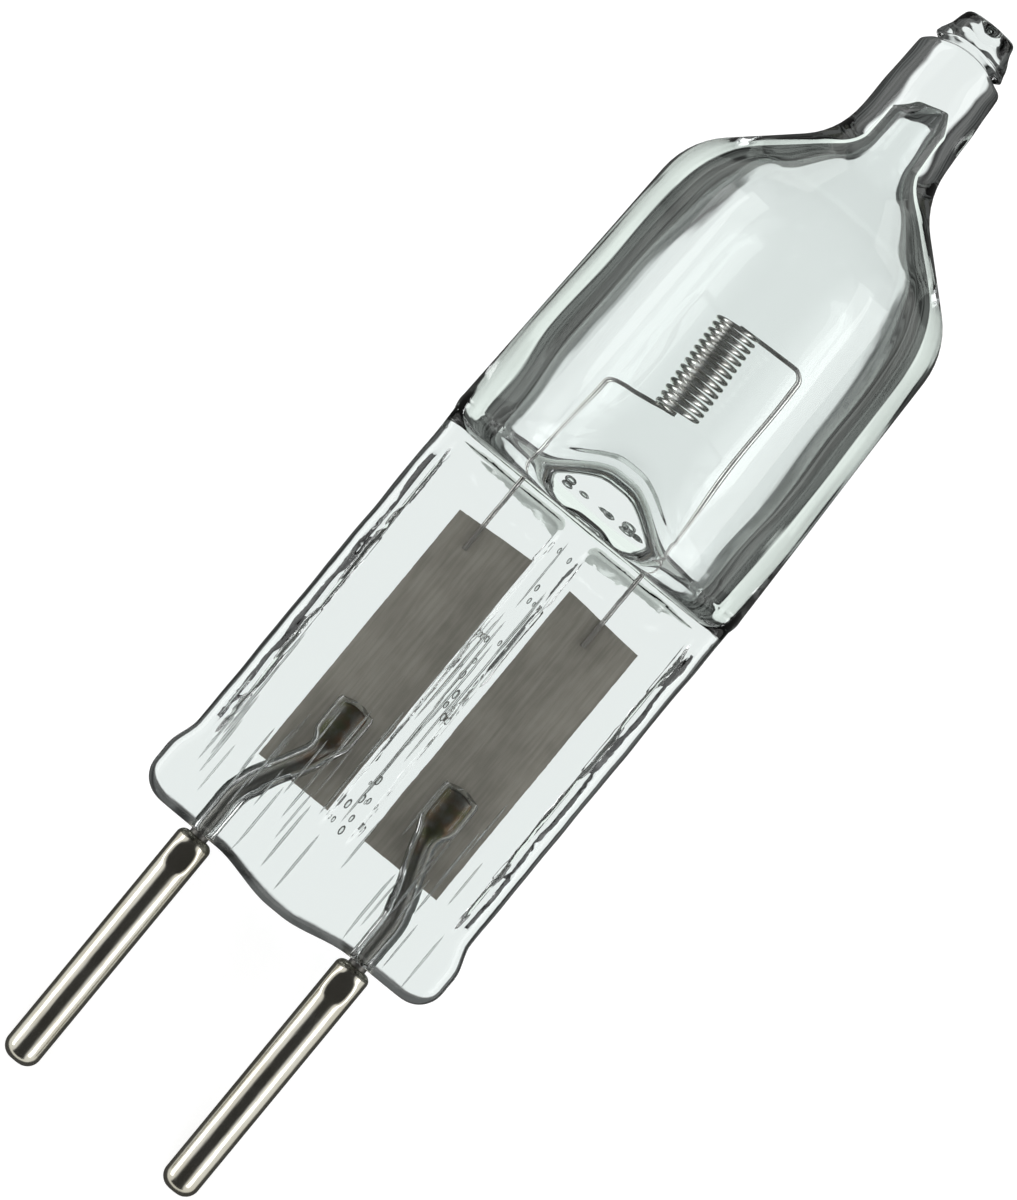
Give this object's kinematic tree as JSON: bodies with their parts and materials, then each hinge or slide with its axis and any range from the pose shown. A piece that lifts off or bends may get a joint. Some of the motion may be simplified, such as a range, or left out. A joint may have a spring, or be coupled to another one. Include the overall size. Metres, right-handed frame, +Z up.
{
  "type": "halogen capsule bulb",
  "caption": "Clear quartz halogen capsule lamp with an upright coiled filament, a flat pinch seal with embedded foils, and straight contact pins, lying on its side.",
  "frame": {"origin": "on the table under the middle of the lamp's box, as the lamp lies at rest on its bulb and both pin ends", "axes": "+X across the flat pinch from the left pin to the right pin, +Y towards the exhaust tip, +Z up, out of the pinch's front"},
  "size_m": [0.0116, 0.0432, 0.0125],
  "materials": {
    "quartz": "clear fire-polished quartz glass",
    "tungsten": "drawn tungsten wire",
    "molybdenum_foil": "matt rolled foil",
    "molybdenum_wire": "dark drawn wire",
    "nickel": "bright nickel"
  },
  "bodies": {
    "root": {"quartz_envelope": "quartz", "filament": "tungsten", "foil_left": "molybdenum_foil", "foil_right": "molybdenum_foil", "outer_lead_left": "molybdenum_wire", "outer_lead_right": "molybdenum_wire", "contact_pin_left": "nickel", "contact_pin_right": "nickel"}
  },
  "joints": []
}
